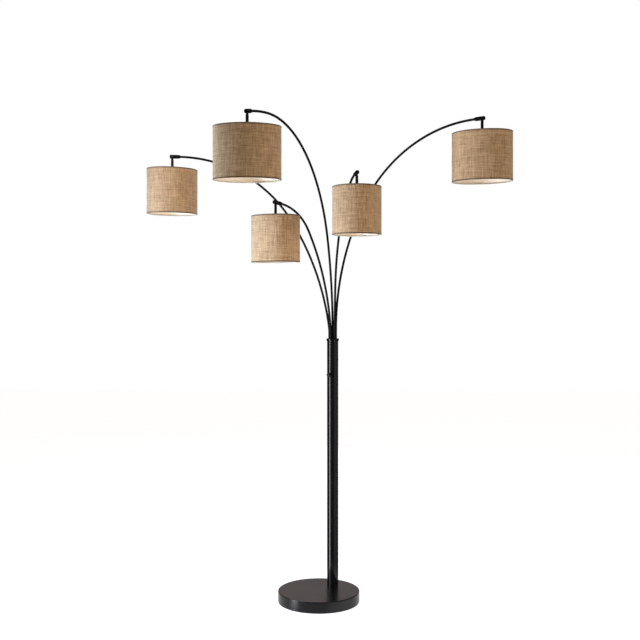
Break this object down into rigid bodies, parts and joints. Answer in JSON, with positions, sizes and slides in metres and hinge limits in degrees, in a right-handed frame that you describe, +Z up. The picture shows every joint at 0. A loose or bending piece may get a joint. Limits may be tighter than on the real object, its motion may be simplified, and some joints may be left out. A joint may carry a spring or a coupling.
{
  "type": "multi-arm arc floor lamp",
  "caption": "Floor lamp with arching arms that fan out from one pole on a round weighted base, each with a hanging oval linen drum shade.",
  "frame": {"origin": "middle of the underside of the round base, on the floor", "axes": "+Z up; +Y from the front of the base to its back, where the pole stands, right of the middle; +X to the right seen from the front"},
  "size_m": [1.5335, 0.9855, 2.0641],
  "materials": {
    "bronze_paint": "satin near-black bronze",
    "cast_iron": "rough as cast",
    "black_felt": "felt",
    "zinc_steel": "zinc plated",
    "black_steel": "blackened",
    "black_rubber": "matt",
    "wire_sleeve": "smooth",
    "black_plastic": "matt",
    "knob_plastic": "fluted, half gloss",
    "bulb_glass": "frosted white",
    "frame_wire": "white coated wire",
    "linen": "coarse natural linen on a warm white liner"
  },
  "bodies": {
    "stand": {"base_cover": "bronze_paint", "base_weight": "cast_iron", "base_pad": "black_felt", "base_nut": "zinc_steel", "cord_grommet": "black_rubber", "feed_wire": "wire_sleeve", "pole_foot": "zinc_steel", "pole_lower": "bronze_paint", "pole_coupler": "zinc_steel", "pole_upper": "bronze_paint", "pole_head": "bronze_paint", "head_screws": "black_steel", "switch_body": "black_plastic", "switch_nut": "black_steel"},
    "switch": {"switch_knob": "knob_plastic"},
    "arm_1_body": {"arm_1": "bronze_paint", "knuckle_1": "bronze_paint", "knuckle_screw_1": "black_steel"},
    "hanger_1": {"stem_1": "bronze_paint", "lampholder_1": "black_plastic", "bulb_1": "bulb_glass", "shade_ring_1": "black_plastic"},
    "shade_1_body": {"shade_frame_1": "frame_wire", "shade_1": "linen"},
    "arm_2_body": {"arm_2": "bronze_paint", "knuckle_2": "bronze_paint", "knuckle_screw_2": "black_steel"},
    "hanger_2": {"stem_2": "bronze_paint", "lampholder_2": "black_plastic", "bulb_2": "bulb_glass", "shade_ring_2": "black_plastic"},
    "shade_2_body": {"shade_frame_2": "frame_wire", "shade_2": "linen"},
    "arm_3_body": {"arm_3": "bronze_paint", "knuckle_3": "bronze_paint", "knuckle_screw_3": "black_steel"},
    "hanger_3": {"stem_3": "bronze_paint", "lampholder_3": "black_plastic", "bulb_3": "bulb_glass", "shade_ring_3": "black_plastic"},
    "shade_3_body": {"shade_frame_3": "frame_wire", "shade_3": "linen"},
    "arm_4_body": {"arm_4": "bronze_paint", "knuckle_4": "bronze_paint", "knuckle_screw_4": "black_steel"},
    "hanger_4": {"stem_4": "bronze_paint", "lampholder_4": "black_plastic", "bulb_4": "bulb_glass", "shade_ring_4": "black_plastic"},
    "shade_4_body": {"shade_frame_4": "frame_wire", "shade_4": "linen"},
    "arm_5_body": {"arm_5": "bronze_paint", "knuckle_5": "bronze_paint", "knuckle_screw_5": "black_steel"},
    "hanger_5": {"stem_5": "bronze_paint", "lampholder_5": "black_plastic", "bulb_5": "bulb_glass", "shade_ring_5": "black_plastic"},
    "shade_5_body": {"shade_frame_5": "frame_wire", "shade_5": "linen"}
  },
  "joints": [
    {"name": "switch_turn", "type": "hinge", "parent": "stand", "child": "switch", "pos_m": [0.04753, 0.07409, 0.985], "axis": [-0.5, -0.866, 0], "continuous": true},
    {"name": "arm_1_swivel", "type": "hinge", "parent": "stand", "child": "arm_1_body", "pos_m": [0.04779, 0.10486, 1.146], "axis": [0, 0, 1], "range_deg": [-10, 10]},
    {"name": "shade_1_tilt", "type": "hinge", "parent": "arm_1_body", "child": "hanger_1", "pos_m": [-0.64911, 0.04389, 1.95514], "axis": [-0.0872, 0.9962, 0], "range_deg": [-12, 20]},
    {"name": "shade_1_turn", "type": "hinge", "parent": "hanger_1", "child": "shade_1_body", "pos_m": [-0.64911, 0.04389, 1.88114], "axis": [0, 0, 1], "continuous": true},
    {"name": "arm_2_swivel", "type": "hinge", "parent": "stand", "child": "arm_2_body", "pos_m": [0.06253, 0.11557, 1.146], "axis": [0, 0, 1], "range_deg": [-10, 10]},
    {"name": "shade_2_tilt", "type": "hinge", "parent": "arm_2_body", "child": "hanger_2", "pos_m": [-0.26274, -0.70597, 2.0251], "axis": [-0.9298, 0.3681, 0], "range_deg": [-15, 15]},
    {"name": "shade_2_turn", "type": "hinge", "parent": "hanger_2", "child": "shade_2_body", "pos_m": [-0.26274, -0.70597, 1.9511], "axis": [0, 0, 1], "continuous": true},
    {"name": "arm_3_swivel", "type": "hinge", "parent": "stand", "child": "arm_3_body", "pos_m": [0.05342, 0.08753, 1.146], "axis": [0, 0, 1], "range_deg": [-10, 10]},
    {"name": "shade_3_tilt", "type": "hinge", "parent": "arm_3_body", "child": "hanger_3", "pos_m": [-0.18312, -0.1409, 1.73713], "axis": [-0.6947, 0.7193, 0], "range_deg": [-1, 20]},
    {"name": "shade_3_turn", "type": "hinge", "parent": "hanger_3", "child": "shade_3_body", "pos_m": [-0.18312, -0.1409, 1.66313], "axis": [0, 0, 1], "continuous": true},
    {"name": "arm_4_swivel", "type": "hinge", "parent": "stand", "child": "arm_4_body", "pos_m": [0.07164, 0.08753, 1.146], "axis": [0, 0, 1], "range_deg": [-10, 10]},
    {"name": "shade_4_tilt", "type": "hinge", "parent": "arm_4_body", "child": "hanger_4", "pos_m": [0.15639, -0.29793, 1.84522], "axis": [-0.9767, -0.2147, 0], "range_deg": [0, 20]},
    {"name": "shade_4_turn", "type": "hinge", "parent": "hanger_4", "child": "shade_4_body", "pos_m": [0.15639, -0.29793, 1.77121], "axis": [0, 0, 1], "continuous": true},
    {"name": "arm_5_swivel", "type": "hinge", "parent": "stand", "child": "arm_5_body", "pos_m": [0.07727, 0.10486, 1.146], "axis": [0, 0, 1], "range_deg": [-10, 10]},
    {"name": "shade_5_tilt", "type": "hinge", "parent": "arm_5_body", "child": "hanger_5", "pos_m": [0.65778, -0.3686, 2.05552], "axis": [-0.632, -0.7749, 0], "range_deg": [-10, 20]},
    {"name": "shade_5_turn", "type": "hinge", "parent": "hanger_5", "child": "shade_5_body", "pos_m": [0.65778, -0.3686, 1.98152], "axis": [0, 0, 1], "continuous": true}
  ]
}
